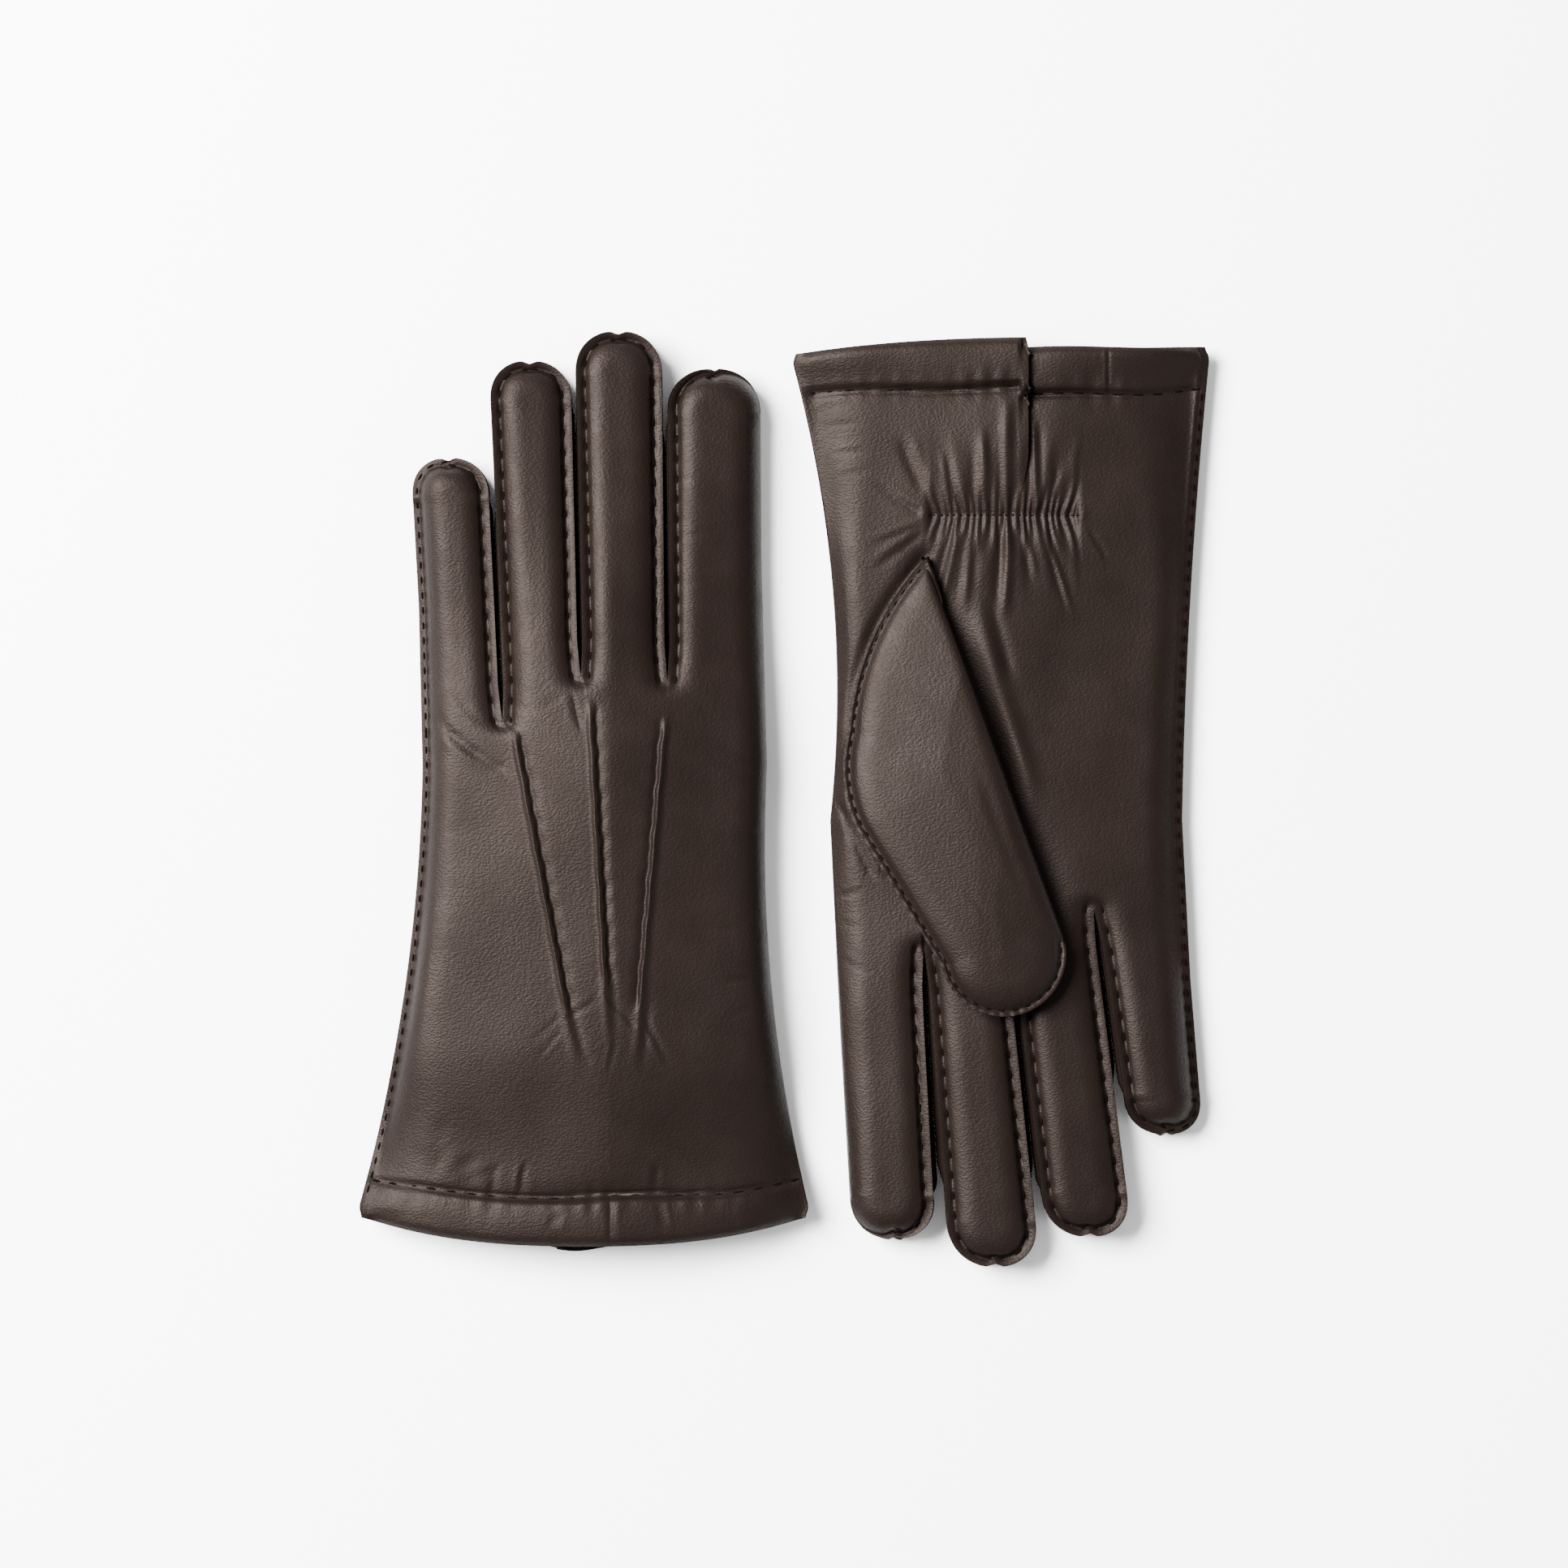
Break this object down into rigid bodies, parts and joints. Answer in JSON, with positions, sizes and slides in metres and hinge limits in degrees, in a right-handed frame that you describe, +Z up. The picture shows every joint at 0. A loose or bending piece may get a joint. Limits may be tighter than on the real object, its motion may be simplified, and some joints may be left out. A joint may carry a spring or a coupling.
{
  "type": "pair of dress gloves",
  "caption": "Pair of dark brown hand-sewn leather dress gloves laid flat head to tail, one palm down and one palm up, with thumbs folded over the palms, lined, with hemmed and vented cuffs.",
  "frame": {"origin": "on the table, under the middle of the pair's box", "axes": "+Z up from the table; +Y along the left glove from its cuff to its fingertips; +X across the pair from the left glove to the right glove"},
  "size_m": [0.232, 0.254, 0.0231],
  "materials": {
    "dark_nappa": "fine-grained satin nappa leather, dark brown",
    "fourchette_nappa": "the same nappa in the side strips between the fingers, darker in shadow",
    "hem_leather": "turned and stitched nappa hem",
    "knit_lining": "fine knitted lining, brown",
    "elastic": "woven elastic tape, matt",
    "thread": "waxed sewing thread, darker than the leather"
  },
  "bodies": {
    "left_hand": {"left_back_leather": "dark_nappa", "left_palm_leather": "dark_nappa", "left_side_edges": "dark_nappa", "left_base_fourchettes": "fourchette_nappa", "left_cuff_hem": "hem_leather", "left_hand_lining": "knit_lining", "left_vent_facing": "hem_leather", "left_wrist_elastic": "elastic", "left_back_points": "dark_nappa", "left_hem_stitches": "thread"},
    "left_little_finger": {"left_little_back_strip": "dark_nappa", "left_little_palm_strip": "dark_nappa", "left_little_fourchettes": "fourchette_nappa", "left_little_lining": "knit_lining"},
    "left_ring_finger": {"left_ring_back_strip": "dark_nappa", "left_ring_palm_strip": "dark_nappa", "left_ring_fourchettes": "fourchette_nappa", "left_ring_lining": "knit_lining"},
    "left_middle_finger": {"left_middle_back_strip": "dark_nappa", "left_middle_palm_strip": "dark_nappa", "left_middle_fourchettes": "fourchette_nappa", "left_middle_lining": "knit_lining"},
    "left_index_finger": {"left_index_back_strip": "dark_nappa", "left_index_palm_strip": "dark_nappa", "left_index_fourchettes": "fourchette_nappa", "left_index_lining": "knit_lining"},
    "left_thumb": {"left_thumb_outer_panel": "dark_nappa", "left_thumb_inner_panel": "dark_nappa", "left_thumb_side_wall": "dark_nappa", "left_thumb_lining": "knit_lining"},
    "right_hand": {"right_back_leather": "dark_nappa", "right_palm_leather": "dark_nappa", "right_side_edges": "dark_nappa", "right_base_fourchettes": "fourchette_nappa", "right_cuff_hem": "hem_leather", "right_hand_lining": "knit_lining", "right_vent_facing": "hem_leather", "right_wrist_elastic": "elastic", "right_back_points": "dark_nappa", "right_hem_stitches": "thread"},
    "right_little_finger": {"right_little_back_strip": "dark_nappa", "right_little_palm_strip": "dark_nappa", "right_little_fourchettes": "fourchette_nappa", "right_little_lining": "knit_lining"},
    "right_ring_finger": {"right_ring_back_strip": "dark_nappa", "right_ring_palm_strip": "dark_nappa", "right_ring_fourchettes": "fourchette_nappa", "right_ring_lining": "knit_lining"},
    "right_middle_finger": {"right_middle_back_strip": "dark_nappa", "right_middle_palm_strip": "dark_nappa", "right_middle_fourchettes": "fourchette_nappa", "right_middle_lining": "knit_lining"},
    "right_index_finger": {"right_index_back_strip": "dark_nappa", "right_index_palm_strip": "dark_nappa", "right_index_fourchettes": "fourchette_nappa", "right_index_lining": "knit_lining"},
    "right_thumb": {"right_thumb_outer_panel": "dark_nappa", "right_thumb_inner_panel": "dark_nappa", "right_thumb_side_wall": "dark_nappa", "right_thumb_lining": "knit_lining"}
  },
  "joints": [
    {"name": "left_little_knuckle", "type": "hinge", "parent": "left_hand", "child": "left_little_finger", "pos_m": [-0.08856, 0.05209, 0.0085], "axis": [-0.9986, -0.0523, 0], "range_deg": [0, 90]},
    {"name": "left_ring_knuckle", "type": "hinge", "parent": "left_hand", "child": "left_ring_finger", "pos_m": [-0.06685, 0.06809, 0.00259], "axis": [-0.9993, -0.0361, 0], "range_deg": [0, 90]},
    {"name": "left_middle_knuckle", "type": "hinge", "parent": "left_hand", "child": "left_middle_finger", "pos_m": [-0.04369, 0.07311, 0.00113], "axis": [-0.9998, -0.0187, 0], "range_deg": [0, 90]},
    {"name": "left_index_knuckle", "type": "hinge", "parent": "left_hand", "child": "left_index_finger", "pos_m": [-0.01827, 0.06512, 0.00377], "axis": [-1, -0.0073, 0], "range_deg": [0, 90]},
    {"name": "left_thumb_base", "type": "hinge", "parent": "left_hand", "child": "left_thumb", "pos_m": [-0.0186, -0.05988, 0.0092], "axis": [-0.1564, -0.9877, 0], "range_deg": [0, 90]},
    {"name": "right_little_knuckle", "type": "hinge", "parent": "right_hand", "child": "right_little_finger", "pos_m": [0.09937, -0.04863, 0.0125], "axis": [-0.9936, -0.1132, 0], "range_deg": [0, 90]},
    {"name": "right_ring_knuckle", "type": "hinge", "parent": "right_hand", "child": "right_ring_finger", "pos_m": [0.07655, -0.06448, 0.0125], "axis": [-0.9925, -0.1226, 0], "range_deg": [0, 90]},
    {"name": "right_middle_knuckle", "type": "hinge", "parent": "right_hand", "child": "right_middle_finger", "pos_m": [0.05236, -0.06959, 0.0125], "axis": [-0.9958, -0.0913, 0], "range_deg": [0, 90]},
    {"name": "right_index_knuckle", "type": "hinge", "parent": "right_hand", "child": "right_index_finger", "pos_m": [0.02683, -0.06172, 0.0125], "axis": [-0.9984, -0.0562, 0], "range_deg": [0, 90]},
    {"name": "right_thumb_base", "type": "hinge", "parent": "right_hand", "child": "right_thumb", "pos_m": [0.0235, 0.06322, 0.0127], "axis": [-0.1564, -0.9877, 0], "range_deg": [0, 90]},
    {"name": "right_glove_lift", "type": "slide", "parent": "left_hand", "child": "right_hand", "axis": [0, 0, 1], "range_m": [0, 0.12]}
  ]
}
